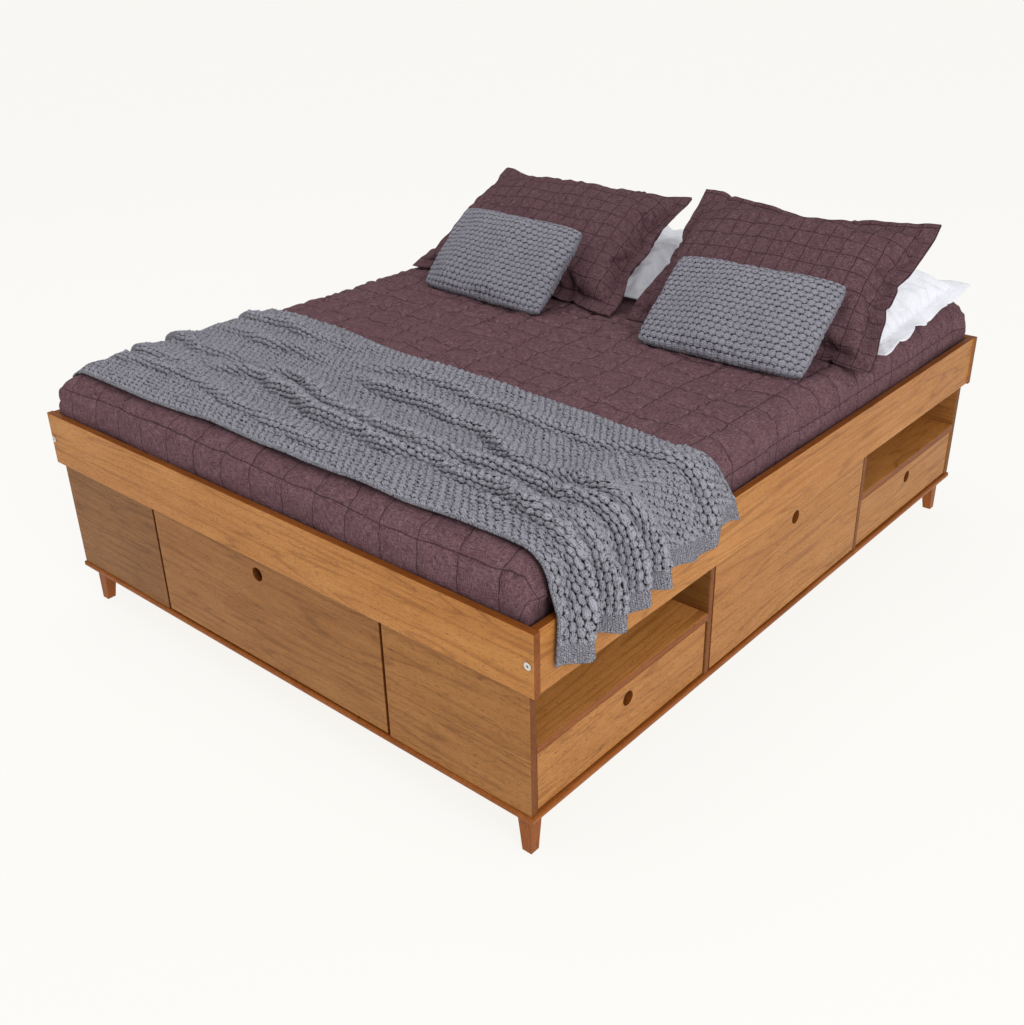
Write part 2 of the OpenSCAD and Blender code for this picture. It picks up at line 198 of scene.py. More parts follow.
X, Y, Z = 0, 1, 2
HONEY = ((0.310, 0.114, 0.024), (0.450, 0.184, 0.044), (0.550, 0.252, 0.072))
# Painted shade: honey at half brightness, for the faces of the dividers, which stand in the shade of the
# niches
SHADED = tuple(scaled(colour, 0.50) for colour in HONEY)
EDGE = ((0.135, 0.034, 0.004), (0.215, 0.060, 0.008), (0.285, 0.092, 0.020))
PLAIN = ((0.420, 0.235, 0.110), (0.540, 0.330, 0.165), (0.640, 0.420, 0.235))
RING_BROWN, PORE_BROWN, KNOT_BROWN = (0.17, 0.048, 0.010), (0.09, 0.026, 0.006), (0.20, 0.072, 0.024)


def wood(name, grain, flat, seed, faces, edges, tone):
    """Oiled wood with its grain along one axis. Sides that don't look along the flat axis get edges."""
    shade = Shade(name)
    place = shade.node("ShaderNodeTexCoord").outputs["Object"]
    place = shade.vector("ADD", place, (0.37 * seed, 0.73 * seed, 0.51 * seed))

    def stretched(share):
        """Place with only a share of its change along the grain, so that what is drawn there is long."""
        factors = [1.0, 1.0, 1.0]
        factors[grain] = share
        return shade.vector("MULTIPLY", place, tuple(factors))

    long_place = stretched(0.07)
    drift = shade.noise(long_place, 2.4, 2.0)
    bent = shade.vector("ADD", long_place, shade.vector("MULTIPLY", drift, (0.10, 0.10, 0.10)))
    figure = shade.noise(bent, 14.0, 2.0, 0.5, 0.4)
    rings = shade.math("PINGPONG", shade.math("FRACT", shade.math("MULTIPLY", figure, 9.0)), 0.5)
    streaks = shade.noise(stretched(0.028), 150.0, 4.0, 0.72)
    fibres = shade.noise(stretched(0.06), 430.0, 3.0, 0.7)
    clouds = shade.noise(stretched(0.22), 5.5, 4.0, 0.6)
    blotches = shade.noise(stretched(0.5), 16.0, 4.0, 0.65)
    blend = 0.0
    for part, share in ((streaks, 0.30), (fibres, 0.42), (rings, 0.16), (clouds, 0.36), (blotches, 0.26)):
        blend = shade.math("ADD", shade.math("MULTIPLY", part, share), blend)
    blend = shade.range(blend, 0.48, 0.92)

    body = shade.ramp(blend, (0.0, faces[0]), (0.52, faces[1]), (1.0, faces[2]))
    side = shade.ramp(blend, (0.0, edges[0]), (0.5, edges[1]), (1.0, edges[2]))
    normal = shade.node("ShaderNodeTexCoord").outputs["Normal"]
    facing = shade.node("ShaderNodeSeparateXYZ", {"Vector": normal}).outputs[flat]
    on_edge = shade.range(shade.math("ABSOLUTE", facing), 0.80, 0.55)
    colour = shade.mix(on_edge, body, side)

    pores = shade.range(shade.noise(stretched(0.11), 760.0, 1.0, 0.5), 0.40, 0.30)
    knots = shade.range(shade.noise(stretched(0.4), 4.1, 2.0, 0.4), 0.66, 0.78)
    lines = shade.range(rings, 0.11, 0.02)
    marks = ((lines, 0.32, RING_BROWN), (pores, 0.55, PORE_BROWN), (knots, 0.30, KNOT_BROWN))
    for mark, strength, brown in marks:
        colour = shade.mix(shade.math("MULTIPLY", mark, strength), colour, brown)
    colour = shade.mix(1.0, colour, (tone, tone, tone), "MULTIPLY")

    shade.feed(shade.surface.inputs["Base Color"], colour)
    shade.feed(shade.surface.inputs["Roughness"], shade.range(streaks, 0.3, 0.7, 0.52, 0.38))
    shade.surface.inputs["Specular IOR Level"].default_value = 0.16
    height = shade.math("SUBTRACT", shade.math("MULTIPLY", fibres, 0.5), pores)
    shade.feed(shade.surface.inputs["Normal"], shade.bump(height, 0.0005, 0.7))
    return shade.material


def metal(name, colour, roughness):
    """Plated metal with faint scratches and blotches."""
    shade = Shade(name)
    place = shade.node("ShaderNodeTexCoord").outputs["Object"]
    blotch = shade.noise(place, 180.0, 3.0)
    fine = shade.noise(place, 1400.0, 1.0)
    tint = shade.ramp(blotch, (0.3, scaled(colour, 0.8)), (0.7, colour))
    shade.feed(shade.surface.inputs["Base Color"], tint)
    shade.surface.inputs["Metallic"].default_value = 1.0
    wear = shade.range(blotch, 0.3, 0.7, roughness - 0.06, roughness + 0.1)
    shade.feed(shade.surface.inputs["Roughness"], wear)
    shade.feed(shade.surface.inputs["Normal"], shade.bump(fine, 0.0001, 0.3))
    return shade.material


def moulded(name, colour):
    """Matt moulded plastic with a fine stipple."""
    shade = Shade(name)
    place = shade.node("ShaderNodeTexCoord").outputs["Object"]
    grit = shade.noise(place, 900.0, 2.0)
    tint = shade.ramp(grit, (0.3, scaled(colour, 0.92)), (0.7, colour))
    shade.feed(shade.surface.inputs["Base Color"], tint)
    shade.surface.inputs["Roughness"].default_value = 0.5
    shade.feed(shade.surface.inputs["Normal"], shade.bump(grit, 0.0001, 0.4))
    return shade.material


# What a board's name starts with, its grain axis, the axis its faces look along, the colours of its faces
# and of its edges, and its tone
BOARDS = (
    ("foot_apron", X, Y, HONEY, EDGE, 1.0), ("head_apron", X, Y, HONEY, EDGE, 1.0),
    ("right_apron", Y, X, HONEY, EDGE, 0.97), ("left_apron", Y, X, HONEY, EDGE, 0.97),
    ("end_panel_foot_left", X, Y, HONEY, EDGE, 0.60), ("end_panel_foot_right", X, Y, HONEY, EDGE, 0.74),
    ("end_panel_head", X, Y, HONEY, EDGE, 0.74), ("flap_foot", X, Y, HONEY, EDGE, 0.70),
    # The divider's SHADED faces are painted shade
    ("head_panel", X, Y, HONEY, EDGE, 0.74), ("divider", X, Y, SHADED, EDGE, 0.92),
    ("flap_right", Y, X, HONEY, EDGE, 0.97), ("flap_left", Y, X, HONEY, EDGE, 0.97),
    ("drawer_front", Y, X, HONEY, EDGE, 0.95), ("shelf", Y, Z, HONEY, EDGE, 1.05),
    # module_back's tone of 0.60 paints the shade at the back of the niches
    ("module_back", Y, X, HONEY, EDGE, 0.60), ("plinth", Y, Z, EDGE, EDGE, 1.30),
    ("legs", Z, Z, EDGE, EDGE, 1.25), ("drawer_box", Y, X, PLAIN, PLAIN, 1.0),
    ("drawer_runners", X, Y, PLAIN, PLAIN, 0.9), ("slats", X, Z, PLAIN, PLAIN, 1.0),
    ("ledger_strips", Y, Z, PLAIN, PLAIN, 0.9), ("centre_beam", Y, X, PLAIN, PLAIN, 0.95),
    ("centre_supports", Z, X, PLAIN, PLAIN, 0.95),
)


def paint(node, material):
    """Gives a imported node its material."""
    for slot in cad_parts[node].material_slots:
        slot.material = material


def paint_frame():
    """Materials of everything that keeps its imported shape."""
    seed = 0
    for start, grain, flat, faces, edges, tone in BOARDS:
        for node in sorted(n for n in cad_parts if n.startswith(start)):
            seed += 1
            lightness = tone * (1 + 0.05 * math.sin(2.4 * seed))
            paint(node, wood("wood_" + node, grain, flat, seed, faces, edges, lightness))
    zinc = metal("zinc", (0.72, 0.71, 0.68), 0.30)
    for node in ("apron_bolts", "barrel_nuts", "flap_pins"):
        paint(node, zinc)
    paint("flap_catches", moulded("catch_plastic", (0.80, 0.80, 0.77)))


# ---------------------------------------------------------------- cloth geometry

def undulation(x, y, wavelength, seed, count=9):
    """Smooth irregular height between about -1 and 1: a sum of plane waves in seeded directions."""
    draw = np.random.default_rng(seed)
    turns, phases = draw.uniform(0, 2 * np.pi, (2, count))
    steps = 2 * np.pi / (wavelength * draw.uniform(0.72, 1.4, count))
    total = sum(np.sin(step * (x * np.cos(turn) + y * np.sin(turn)) + phase)
                for turn, phase, step in zip(turns, phases, steps))
    return total / math.sqrt(count / 2)


def ease(value, low, high):
    """0 below low, 1 above high, smooth between."""
    t = np.clip((value - low) / (high - low), 0, 1)
    return t * t * (3 - 2 * t)


def normals_of(grid):
    """Unit normals of a grid of points."""
    across = np.cross(np.gradient(grid, axis=0), np.gradient(grid, axis=1))
    return across / np.maximum(np.linalg.norm(across, axis=-1, keepdims=True), 1e-9)


def finer(grid, times):
    """Cubic interpolation of a grid of points, so many times finer along both its sides."""
    for side in (0, 1):
        count = grid.shape[side]
        place = np.linspace(0, count - 1, (count - 1) * times + 1)
        first = np.minimum(place.astype(int), count - 2)
        t = (place - first).reshape((-1, 1, 1) if side == 0 else (1, -1, 1))
        weights = (2 * t**2 - t - t**3, 2 - 5 * t**2 + 3 * t**3, t + 4 * t**2 - 3 * t**3, t**3 - t**2)
        grid = sum(w / 2 * np.take(grid, np.clip(first + shift, 0, count - 1), side)
                   for shift, w in zip((-1, 0, 1, 2), weights))
    return grid


def quads(index):
    """Corner numbers of the faces of a grid of vertex numbers."""
    return np.stack([index[:-1, :-1], index[1:, :-1], index[1:, 1:], index[:-1, 1:]], -1).reshape(-1, 4)


def ring_of(index):
    """Border of a grid, once round."""
    return np.concatenate([index[:-1, 0], index[-1, :-1], index[:0:-1, -1], index[0, :0:-1]])


def add_mesh(name, points, faces, flat=None, chunky=None):
    """New smooth object from arrays, with flat cloth coordinates as its UV map and its knit's chunkiness."""
    mesh = bpy.data.meshes.new(name)
    mesh.from_pydata(points.tolist(), [], faces.tolist())
    mesh.polygons.foreach_set("use_smooth", np.ones(len(faces), bool))
    if flat is not None:
        layer = mesh.uv_layers.new(name="cloth")
        layer.data.foreach_set("uv", flat[faces.ravel()].astype(np.float32).ravel())
    if chunky is not None:
        attribute = mesh.attributes.new("chunky", "FLOAT", "POINT")
        attribute.data.foreach_set("value", chunky.astype(np.float32))
    mesh.update()
    made = bpy.data.objects.new(name, mesh)
    bpy.context.scene.collection.objects.link(made)
    return made


def add_closed_sheet(name, upper, lower, flat, chunky=None):
    """Object with an upper and a lower skin, both grids of the same size, joined round their borders."""
    index = np.arange(upper.shape[0] * upper.shape[1]).reshape(upper.shape[:2])
    ring = ring_of(index)
    after, under = np.roll(ring, -1), index.size
    rim = np.stack([ring + under, after + under, after, ring], -1)
    faces = np.concatenate([quads(index), quads(index + under)[:, ::-1], rim])
    points = np.concatenate([upper.reshape(-1, 3), lower.reshape(-1, 3)])
    flat = np.concatenate([flat.reshape(-1, 2)] * 2)
    if chunky is not None:
        chunky = np.concatenate([chunky.ravel()] * 2)
    return add_mesh(name, points, faces, flat, chunky)


def finish_piece(piece, material, slot, *nodes):
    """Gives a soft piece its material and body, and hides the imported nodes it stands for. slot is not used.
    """
    piece.data.materials.append(material)
    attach(piece, "root")
    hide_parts(*nodes)


def drape_over_box(a, b, half, radius, top):
    """Rolls flat coordinates over a block's round top edges and down its sides: points, normals, drop."""
    core_a, core_b = half[0] - radius, half[1] - radius
    ia, ib = np.clip(a, -core_a, core_a), np.clip(b, -core_b, core_b)
    ea, eb = a - ia, b - ib
    reach = np.maximum(abs(ea), abs(eb))
    roll = np.clip(reach / radius, 0, np.pi / 2)
    drop = np.maximum(reach - radius * np.pi / 2, 0)
    power = 2 + 4 * ease(roll, 0.4, 1.5) + 10 * ease(drop, 0, 0.03)
    long = np.maximum((abs(ea) ** power + abs(eb) ** power) ** (1 / power), 1e-9)
    da, db = ea / long, eb / long
    out = radius * np.sin(roll)
    points = np.stack([ia + out * da, ib + out * db, top - radius * (1 - np.cos(roll)) - drop], -1)
    normals = np.stack([np.sin(roll) * da, np.sin(roll) * db, np.cos(roll)], -1)
    return points, normals, drop


# ---------------------------------------------------------------- quilt and mattress

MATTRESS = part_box("mattress")
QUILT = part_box("quilt")
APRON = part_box("right_apron")
APRON_TOP = APRON[1].z
QUILT_TOP = QUILT[1].z
EDGE_ROUND = 0.064
# Length and width of the quilt's stitched cells
CELL = (0.105, 0.100)
# How far the quilt's edge is tucked down past the rounding of the mattress
TUCK = 0.112


def add_mattress():
    """Tufted block with soft edges and a piped seam round its top and bottom, under the quilt."""
    low, high = MATTRESS
    half = ((high.x - low.x) / 2, (high.y - low.y) / 2)
    radius, top = 0.055, high.z - 0.008
    height = top - low.z
    reach = [h - radius + radius * math.pi / 2 + height - radius - 0.003 for h in half]
    sides = [np.linspace(-r, r, count) for r, count in zip(reach, (160, 190))]
    a, b = np.meshgrid(*sides, indexing="ij")
    points, normals, drop = drape_over_box(a, b, half, radius, top)
    tuft_pitch = 0.16
    tufts = 0.003 * abs(np.sin(a / tuft_pitch * np.pi) * np.sin(b / tuft_pitch * np.pi)) * (drop == 0)
    piping = sum(0.004 * np.exp(-((drop - seam) / 0.006) ** 2) for seam in (0.012, 0.125))
    upper = points + normals * (tufts + piping)[..., None]
    lower = np.stack([points[..., 0] * 0.985, points[..., 1] * 0.985, np.full(a.shape, low.z + 0.0005)], -1)
    mattress = add_closed_sheet("mattress_block", upper, lower, np.stack([a, b], -1))
    finish_piece(mattress, ticking(), "ticking", "mattress")


def quilt_seams(a, b, depth):
    """Coordinates in cells, whole at the seams: straight on the sides and wandering a little on the top."""
    wander = 1 - 0.9 * ease(depth, 0.01, 0.05)
    across = a / CELL[0] + wander * (0.060 * undulation(a, b, 0.30, 21) + 0.02 * undulation(a, b, 0.07, 22))
    along = b / CELL[1] + wander * (0.070 * undulation(a, b, 0.28, 23) + 0.02 * undulation(a, b, 0.07, 24))
    return across, along


def quilt_relief(a, b, y, side, drop, across, along):
    """How far the quilt's face stands off its base. side is 0 on the top and 1 down the sides."""
    near_a = abs(across - np.round(across)) * CELL[0]
    near_b = abs(along - np.round(along)) * CELL[1]
    puff = (1 - np.exp(-near_a / 0.0085)) * (1 - np.exp(-near_b / 0.0085))
    pull_a = undulation(0.25 * a, b, 0.030, 25) * np.exp(-near_a / 0.026)
    pull_b = undulation(a, 0.25 * b, 0.030, 26) * np.exp(-near_b / 0.026)
    creases = 1 - abs(undulation(0.5 * a, b, 0.075, 27))
    wrinkles = 1 - abs(undulation(0.28 * a, b, 0.11, 31))
    height = (0.0068 - 0.0054 * side) * puff + (0.0016 - 0.0011 * side) * (pull_a + pull_b)
    height = height + (0.0016 - 0.0013 * side) * np.clip(creases, 0, 1) ** 2
    height = height + 0.0042 * (1 - side) * np.clip(wrinkles, 0, 1) ** 4
    under_throw = ease(y, -1.0, -0.95) * ease(-y, 0.36, 0.42)
    height = height * (1 - 0.6 * under_throw) - 0.002 * under_throw
    height = height + 0.0024 * undulation(a, b, 0.45, 29)
    bulge = np.exp(-((drop - 0.022) / 0.026) ** 2) * side
    return height + 0.004 * bulge * (1 + 0.5 * undulation(a, b, 0.25, 30))


def quilt_surface(a, b):
    """Top skin of the quilt at flat coordinates a, b, its underside and its stitch coordinates."""
    half = (QUILT[1].x - 0.001, QUILT[1].y - 0.003)
    base_top = QUILT_TOP - 0.0065
    points, normals, drop = drape_over_box(a, b, half, EDGE_ROUND, base_top)
    depth = base_top - points[..., 2]
    across, along = quilt_seams(a, b, depth)
    height = quilt_relief(a, b, points[..., 1], ease(depth, 0.03, 0.09), drop, across, along)
    upper = points + normals * height[..., None]
    fold_out_corners(upper)
    keep_inside_aprons(upper)
    lower = points - normals * 0.009
    stitches = np.stack([across * CELL[0], along * CELL[1]], -1)
    return upper, lower, stitches


def fold_out_corners(upper):
    """Pushes a small ear of cloth out at each corner, just above the aprons."""
    x, y, z = np.moveaxis(upper, -1, 0)
    ear = np.exp(-((z - APRON_TOP - 0.040) / 0.012) ** 2) * (abs(x) > QUILT[1].x - 0.03)
    ear = ear * np.interp(QUILT[1].y - abs(y), (0, 0.045, 0.085), (0, 1, 0))
    upper[..., 0] += 0.014 * ear * np.sign(x)


def keep_inside_aprons(upper):
    """Presses what is below the aprons' top edge back inside them."""
    inside = upper[..., 2] < APRON_TOP + 0.004
    for axis, limit in ((0, APRON[0].x - 0.001), (1, APRON[1].y - 0.001)):
        upper[..., axis] = np.where(inside, np.clip(upper[..., axis], -limit, limit), upper[..., axis])


def add_quilt():
    """Stitched quilt over the mattress, tucked down inside the aprons."""
    step = 0.0065
    core = (QUILT[1].x - EDGE_ROUND, QUILT[1].y - EDGE_ROUND)
    reach = [c + EDGE_ROUND * math.pi / 2 + TUCK for c in core]
    a, b = np.meshgrid(*(np.linspace(-r, r, round(2 * r / step)) for r in reach), indexing="ij")
    upper, lower, stitches = quilt_surface(a, b)
    quilt = add_closed_sheet("bed_quilt", upper, lower, stitches)
    finish_piece(quilt, quilted_linen(), "plum_linen", "quilt")


# ---------------------------------------------------------------- knitted throw

Fold = namedtuple("Fold", "on_top at_hem line")
# Folds of the throw: their heights on the bed and at the hem, and points along their crests. A point is a
# place along the throw, counted from the bed's middle, and a y.
FOLDS = (
    Fold(0.016, 0.012, (
        (-0.173, -0.493), (0.053, -0.453), (0.333, -0.507), (0.667, -0.493), (1.011, -0.448))),
    Fold(0.019, 0.034, (
        (-0.133, -0.560), (0.133, -0.587), (0.333, -0.613), (0.533, -0.693), (0.787, -0.680),
        (1.011, -0.641))),
    Fold(0.021, 0.034, (
        (-0.400, -0.653), (-0.200, -0.653), (-0.053, -0.720), (0.267, -0.747), (0.551, -0.745),
        (0.791, -0.735), (1.011, -0.716))),
    Fold(0.021, 0.038, (
        (-0.467, -0.720), (-0.267, -0.707), (-0.107, -0.760), (0.133, -0.788), (0.373, -0.802),
        (0.667, -0.825), (0.800, -0.867), (1.011, -0.909))),
    Fold(0.012, 0.034, ((0.551, -0.870), (0.751, -0.815), (1.011, -0.805))),
    Fold(0.014, 0.014, ((-0.90, -0.773), (-0.650, -0.768), (-0.449, -0.775))),
    Fold(0.012, 0.012, ((-0.769, -0.835), (-0.480, -0.810), (-0.149, -0.860), (0.251, -0.905))),
    Fold(0.016, 0.016, ((-0.699, -0.520), (-0.499, -0.515), (-0.249, -0.535))),
    Fold(0.013, 0.013, ((-0.829, -0.630), (-0.599, -0.660), (-0.419, -0.640))),
    Fold(0.012, 0.012, ((-0.90, -0.410), (-0.549, -0.400), (-0.289, -0.430))),
)
THROW_START, THROW_END = -0.792, 1.011
THROW_FLAT = (0.70, THROW_END - THROW_START)
HEM = 0.045
HEM_START = THROW_END - HEM

# A knit's lumps: the size of one, how far each row is shifted in lumps, the axis that its strands are counted
# along, and the squared distances from its middle where the painted shade of the hole beside it starts and is
# darkest
Stitch = namedtuple("Stitch", "size shift counted gap")
LUMP = Stitch((0.0210, 0.0143), 0.5, 1, (0.76, 1.04))
MOSS = Stitch((0.0064, 0.0044), 0.5, 0, (1.0, 1.4))
CUSHION_LUMP = Stitch((0.0200, 0.0160), -0.35, 1, (0.76, 1.14))
# Half width and half height of a lump's outline, in lumps
LUMP_REACH = (0.56, 0.58)


def throw_path(run):
    """Line of the throw in x and z, and its outward normals, at places along it from the bed's middle."""
    core, radius, middle = QUILT[1].x - 0.0600, 0.0750, QUILT_TOP - 0.0675
    turn = np.radians(np.linspace(-90, 80, 171))
    arc_x, arc_z = radius * np.sin(turn), middle + radius * np.cos(turn)
    left, right = turn <= 0, turn >= 0
    face = APRON[1].x + 0.0065
    hang_x, hang_z = zip((face, APRON_TOP + 0.006), (face + 0.001, APRON_TOP - 0.02), (face + 0.0015, 0.40))
    x = np.concatenate([arc_x[left] - core, arc_x[right] + core, hang_x])
    z = np.concatenate([arc_z[left], arc_z[right], hang_z])
    knots = np.concatenate([[0], np.cumsum(np.hypot(np.diff(x), np.diff(z)))]) - core - radius * math.pi / 2
    even = np.arange(knots[0], knots[-1], 0.001)
    line = np.stack([np.interp(even, knots, x), np.interp(even, knots, z)], -1)
    reach = 15
    window = np.hanning(2 * reach + 1)
    window = window / window.sum()
    longer = np.concatenate([np.repeat(line[:1], reach, 0), line, np.repeat(line[-1:], reach, 0)])
    line = np.stack([np.convolve(longer[:, k], window, "valid") for k in (0, 1)], -1)
    along = np.gradient(line, axis=0)
    along /= np.linalg.norm(along, axis=1, keepdims=True)
    x, z, out_x, out_z = (np.interp(run, even, values) for values in (*line.T, -along[:, 1], along[:, 0]))
    return np.stack([x, 0 * x, z], -1), np.stack([out_x, 0 * x, out_z], -1)


def stitch_distance(across, along, stitch):
    """Squared distance from the middle of the nearest lump, 1 at its outline. Each row is shifted."""
    up = along / stitch.size[1]
    row = np.floor(up)
    turn = across / stitch.size[0] + stitch.shift * row
    wide = (turn - np.floor(turn) - 0.5) / LUMP_REACH[0]
    tall = (up - row - 0.5) / LUMP_REACH[1]
    return wide ** 2 + tall ** 2


def hanging_share(p):
    """0 where the throw lies on the bed, 1 where it hangs, at places p along it."""
    return ease(p, 0.75, 0.99)


def fold_height(p, y):
    """How far the throw's folds stand off the bed, with a crease along the foot side of each."""
    hanging = hanging_share(p)
    height = 0.0030 * undulation(p * 0.5, y, 0.13, 43) + 0.004 * hanging * undulation(p * 0.4, y, 0.11, 44)
    head_width, foot_width = 0.030 - 0.013 * hanging, 0.018 + 0.006 * hanging
    for on_top, at_hem, line in FOLDS:
        at, ys = np.array(line).T
        fade = np.ones(p.shape) if at[0] < THROW_START else ease(p, at[0] - 0.10, at[0] + 0.20)
        if at[-1] < THROW_END:
            fade = fade * (1 - ease(p, at[-1] - 0.25, at[-1] + 0.10))
        middle = np.interp(p, at, ys) + 0.005 * undulation(p, y * 0, 0.19, int(1000 * abs(at[0])) + 77)
        off = (y - middle) / np.where(y > middle, head_width, foot_width)
        crease = 0.34 * np.exp(-((off + 1.75) / 0.55) ** 2) * (1 - hanging)
        crest = 1.25 * on_top + (1.1 * at_hem - 1.25 * on_top) * hanging
        height = height + crest * fade * (np.exp(-off ** 2) - crease)
    return height


def throw_rows(p, q):
    """y at places p along the throw and shares q of its width, spread evenly along the folded cloth."""
    foot = np.interp(p, (-0.80, 0.65, 0.85, 1.011), (-0.960, -0.951, -0.955, -0.966))
    head_edge = (-0.322, -0.326, -0.345, -0.375, -0.402, -0.340)
    head = np.interp(p, (-0.80, -0.70, -0.30, 0.35, 0.75, 1.011), head_edge)
    edge_wave = 0.002 * undulation(p, q * 0, 0.35, 41) * (1 - q) + 0.007 * undulation(p, q * 0, 0.4, 42) * q
    y = foot + (head - foot) * q + edge_wave
    spans = np.hypot(np.diff(y, axis=1), np.diff(fold_height(p, y), axis=1))
    run = np.concatenate([np.zeros((len(p), 1)), np.cumsum(spans, axis=1)], axis=1)
    return np.stack([np.interp(share * at[-1], at, ys) for share, at, ys in zip(q, run, y)])


def throw_cloth(p, q):
    """Middle of the throw's cloth: its folds, its fall over the foot end of the bed and its hanging part."""
    y = throw_rows(p, q)
    hanging = hanging_share(p)
    border = np.minimum(q, 1 - q) * THROW_FLAT[0]
    height = fold_height(p, y) - 0.003 * (1 - ease(border, 0.0, 0.03)) * (1 - hanging)
    height = np.maximum(height, -0.0015)
    foot_core, foot_round = QUILT[0].y + EDGE_ROUND, 0.070
    past = np.maximum(foot_core - y, 0)
    over = past / foot_round * (1 - hanging)
    sag = foot_round * (1 - np.cos(over)) + 0.010 * (1 - ease(p, -0.80, -0.72)) * (1 - ease(q, 0.0, 0.09))
    y = np.where(over > 0, foot_core - foot_round * np.sin(over) - past * hanging, y)
    shorter = (0.026 * ease(q, 0.08, 0.5) + 0.030 * ease(q, 0.55, 1.0)) * ease(p, 0.3, 1.011)
    base, normal = throw_path(p - shorter)
    lean = -0.40 * height * (1 - 1.2 * hanging)
    swing = 0.010 * undulation(y, y * 0, 0.2, 45) * ease(p, 0.81, 1.011)
    return base + normal * height[..., None] + np.stack([0 * q, y + lean, swing - sag], -1)


def throw_knit(p, q):
    """Where the throw is chunky, from 0 in its hems to 1, and how far its stitches stand out."""
    width = q * THROW_FLAT[0]
    border = np.minimum(q, 1 - q) * THROW_FLAT[0]
    blend = 0.004
    first_hem = 1 - ease(p - THROW_START, HEM - blend, HEM + blend)
    plain = np.maximum(first_hem, ease(p, HEM_START - blend, HEM_START + blend))
    chunky = (1 - plain) * ease(border, 0.005, 0.009)
    lumps = np.sqrt(np.clip(1 - stitch_distance(p, width, LUMP), 0, 1))
    uneven = 1 + 0.15 * undulation(width, p, 0.024, 46) + 0.12 * undulation(width, p, 0.0095, 47)
    fine = 0.0016 + 0.0008 * undulation(width, p, 0.0075, 48)
    return chunky, chunky * 0.0078 * lumps * uneven + (1 - chunky) * fine


def add_throw():
    """Chunky knitted throw across the foot half, hanging over the right apron in folds."""
    before_hem = np.arange(THROW_START, HEM_START, 0.0030)
    places = np.concatenate([before_hem, np.linspace(HEM_START, THROW_END, 23)])
    p, q = np.meshgrid(places, np.linspace(0, 1, 301), indexing="ij")
    cloth = throw_cloth(p, q)
    facing = normals_of(cloth)
    chunky, relief = throw_knit(p, q)
    upper = cloth + facing * (relief + 0.001)[..., None]
    lower = cloth - facing * 0.0015
    flat = np.stack([p, q * THROW_FLAT[0]], -1)
    throw = add_closed_sheet("knit_throw", upper, lower, flat, chunky)
    yarn = knit("throw_knit", (0.250, 0.246, 0.280), LUMP, 0.0036, 0.98)
    finish_piece(throw, yarn, "grey_knit", "throw")


# ---------------------------------------------------------------- pillows and cushions

def sewn_cover(size, step, puff, pinch, round_off):
    """Flat cover of two equal cloths sewn round their border: points, faces and the vertex numbers of both.
    Its sides bow in by pinch, or out where that is negative, and round_off draws its corners in."""
    counts = [round(side / step) for side in size]
    u, v = np.meshgrid(*(np.linspace(-1, 1, count + 1) for count in counts), indexing="ij")
    half = (size[0] / 2, size[1] / 2)
    x = u * (half[0] - pinch[0] * (1 - v**2) * u**2 - round_off * u**4 * v**8)
    y = v * (half[1] - pinch[1] * (1 - u**2) * v**2 - round_off * v**4 * u**8)
    rise = puff * ((1 - u**2) * (1 - v**2)) ** 0.5
    front = np.arange(u.size).reshape(u.shape)
    back, inner = front.copy(), np.zeros(u.shape, bool)
    inner[1:-1, 1:-1] = True
    back[inner] = u.size + np.arange(inner.sum())
    points = np.concatenate([np.stack([x, y, rise], -1).reshape(-1, 3), np.stack([x, y, -rise], -1)[inner]])
    return points, np.concatenate([quads(front), quads(back)[:, ::-1]]), front, back


def inflate(points, faces, pressure, frames, limit):
    """Cloth simulation of a filled cover. No point moves further than limit from where it starts."""
    body = add_mesh("cover", points, faces)
    cloth = body.modifiers.new("cloth", "CLOTH")
    cloth.settings.use_pressure = True
    cloth.settings.uniform_pressure_force = pressure
    cloth.settings.effector_weights.gravity = 0
    cloth.settings.tension_stiffness = cloth.settings.compression_stiffness = 15
    cloth.settings.bending_stiffness = 0.3
    cloth.settings.quality = 6
    cloth.collision_settings.use_collision = False
    cloth.point_cache.frame_end = frames
    for number in range(1, frames + 1):
        bpy.context.scene.frame_set(number)
    swollen = body.evaluated_get(bpy.context.evaluated_depsgraph_get())
    result = np.array([v.co for v in swollen.data.vertices])
    bpy.data.objects.remove(body)
    bpy.context.scene.frame_set(1)
    move = result - points
    far = np.maximum(np.linalg.norm(move, axis=1, keepdims=True), 1e-9)
    return points + move * np.minimum(1, limit / far)


def filled(size, step, puff, pressure, frames, limit, times, pinch=(-0.004, -0.012), round_off=0.0):
    """Front and back skins of a filled cover as fine grids, and their flat coordinates."""
    points, faces, front, back = sewn_cover(size, step, puff, pinch, round_off)
    points = inflate(points, faces, pressure, frames, limit)
    upper, lower = finer(points[front], times), finer(points[back], times)
    places = [np.linspace(-side / 2, side / 2, count) for side, count in zip(size, upper.shape)]
    return upper, lower, np.stack(np.meshgrid(*places, indexing="ij"), -1)


def with_flange(upper, lower, flat, width, rows, wave, seed):
    """Adds a double flange outside the seam, waved at its outer edge. Returns the skins, their flat
    coordinates and the distance from the seam as a share of the flange."""
    pad = ((rows, rows), (rows, rows), (0, 0))
    counted = [np.arange(-rows, count + rows) for count in flat.shape[:2]]
    steps = [np.minimum(n, 0) + np.maximum(n - (count - 1), 0) for n, count in zip(counted, flat.shape)]
    out = np.stack(np.meshgrid(*(step * width / rows for step in steps), indexing="ij"), -1)
    away = np.abs(out).max(-1) / width
    flat = np.pad(flat, pad, "edge") + out
    grids = []
    lift = wave * undulation(flat[..., 0], flat[..., 1], 0.17, seed) * away**1.5
    for grid, side in ((upper, 1), (lower, -1)):
        grid = np.pad(grid, pad, "edge")
        grid[..., :2] += out
        grid[..., 2] += lift + side * 0.0016
        grids.append(grid)
    return grids[0], grids[1], flat, away


